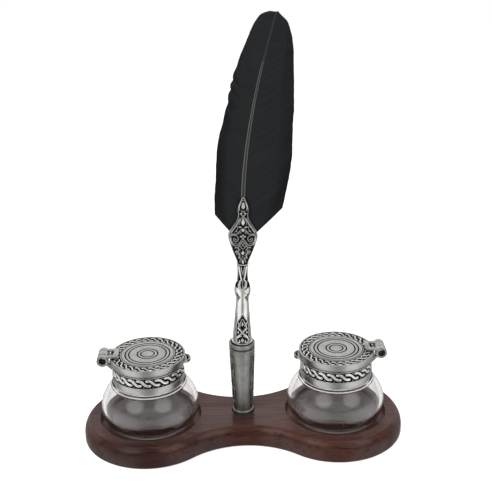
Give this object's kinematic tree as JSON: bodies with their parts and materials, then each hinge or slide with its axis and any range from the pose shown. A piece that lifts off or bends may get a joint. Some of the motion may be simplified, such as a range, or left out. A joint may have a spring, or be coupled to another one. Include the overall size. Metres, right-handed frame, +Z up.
{
  "type": "desk inkstand",
  "caption": "Wooden figure-of-eight stand with glass inkwells under hinged pewter lids and an upright quill pen in a pewter holder.",
  "frame": {"origin": "middle of the underside of the stand, on the surface it stands on", "axes": "+X along the stand towards the right inkwell, +Y from the front to the back, +Z up"},
  "size_m": [0.2, 0.0836, 0.259],
  "materials": {
    "mahogany": "dark stained and lacquered",
    "felt": "pressed felt",
    "pewter": "cast, polished and blackened in the hollows",
    "steel": "plain",
    "clear_glass": "clear, thick",
    "cement": "matt plaster",
    "feather": "dyed black, soft sheen",
    "quill": "dyed horn"
  },
  "bodies": {
    "stand": {"wooden_base": "mahogany", "felt_underlay": "felt", "pen_holder": "pewter", "holder_screw": "steel"},
    "left_inkwell": {"left_glass_jar": "clear_glass", "left_neck_cement": "cement", "left_collar": "pewter", "left_hinge_pin": "steel"},
    "left_lid": {"left_lid": "pewter", "left_hinge_strap": "pewter", "left_thumb_tab": "pewter"},
    "right_inkwell": {"right_glass_jar": "clear_glass", "right_neck_cement": "cement", "right_collar": "pewter", "right_hinge_pin": "steel"},
    "right_lid": {"right_lid": "pewter", "right_hinge_strap": "pewter", "right_thumb_tab": "pewter"},
    "pen": {"pen_handle": "pewter", "nib_ferrule": "pewter", "nib": "steel", "feather_shaft": "quill", "feather_vane_left": "feather", "feather_vane_right": "feather"}
  },
  "joints": [
    {"name": "left_inkwell_lift", "type": "slide", "parent": "stand", "child": "left_inkwell", "axis": [0, 0, 1], "range_m": [0, 0.03]},
    {"name": "left_lid_hinge", "type": "hinge", "parent": "left_inkwell", "child": "left_lid", "pos_m": [-0.0853, 0, 0.0552], "axis": [0, -1, 0], "range_deg": [0, 110]},
    {"name": "right_inkwell_lift", "type": "slide", "parent": "stand", "child": "right_inkwell", "axis": [0, 0, 1], "range_m": [0, 0.03]},
    {"name": "right_lid_hinge", "type": "hinge", "parent": "right_inkwell", "child": "right_lid", "pos_m": [0.0853, 0, 0.0552], "axis": [0, 1, 0], "range_deg": [0, 110]},
    {"name": "pen_lift", "type": "slide", "parent": "stand", "child": "pen", "axis": [0, 0, 1], "range_m": [0, 0.045]}
  ]
}
